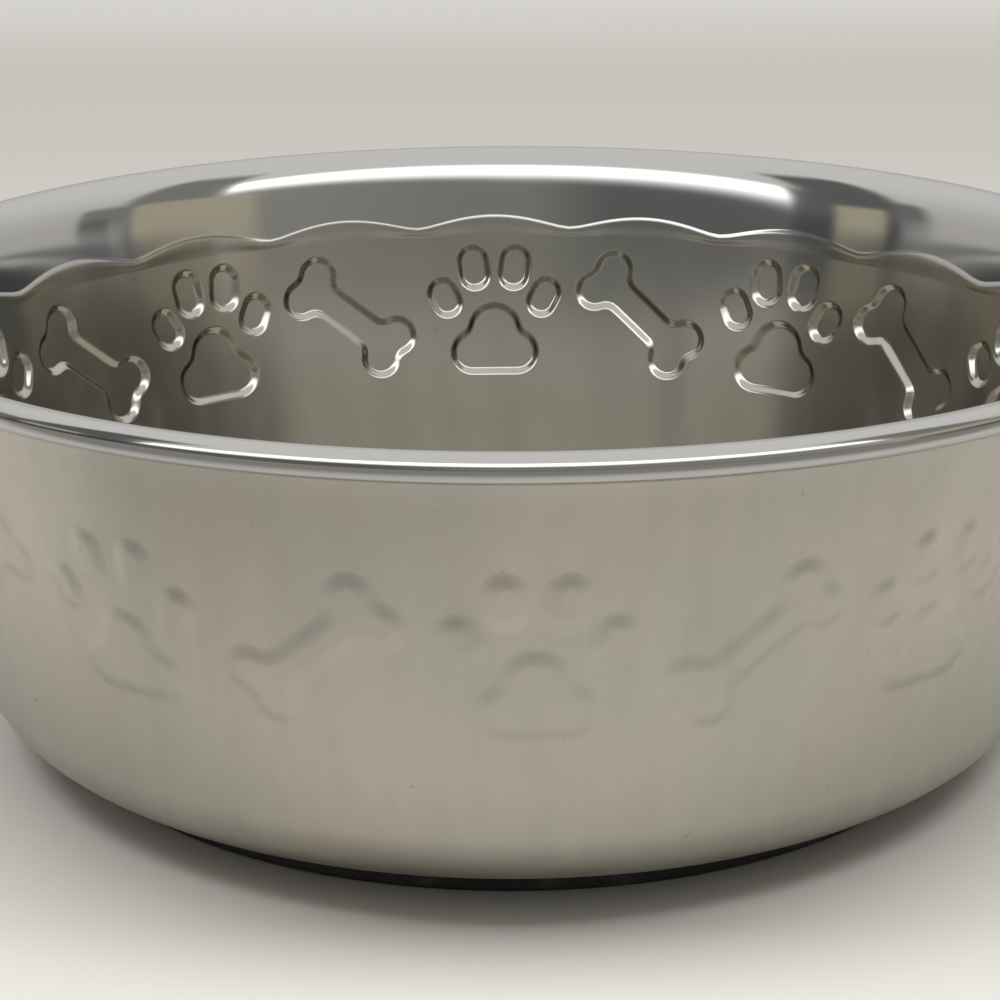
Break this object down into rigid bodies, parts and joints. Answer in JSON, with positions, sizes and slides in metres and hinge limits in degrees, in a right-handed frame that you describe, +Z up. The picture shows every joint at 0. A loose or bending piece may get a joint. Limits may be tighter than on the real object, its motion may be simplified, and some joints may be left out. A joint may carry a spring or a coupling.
{
  "type": "pet bowl",
  "caption": "Low round steel feeding bowl with a curled rim, pressed paw and bone relief round its wall, and a rubber ring under its base.",
  "frame": {"origin": "centre of the ring's underside, on the surface that the bowl stands on", "axes": "+Z up along the axis of the bowl, -Y towards the side that faces the viewer"},
  "size_m": [0.16, 0.16, 0.0561],
  "materials": {
    "steel": "satin outside, polished inside and on the rim",
    "rubber": "matt black"
  },
  "bodies": {
    "ring": {"ring": "rubber"},
    "bowl": {"bowl": "steel"}
  },
  "joints": [
    {"name": "bowl_lift", "type": "slide", "parent": "ring", "child": "bowl", "axis": [0, 0, 1], "range_m": [0, 0.02]}
  ]
}
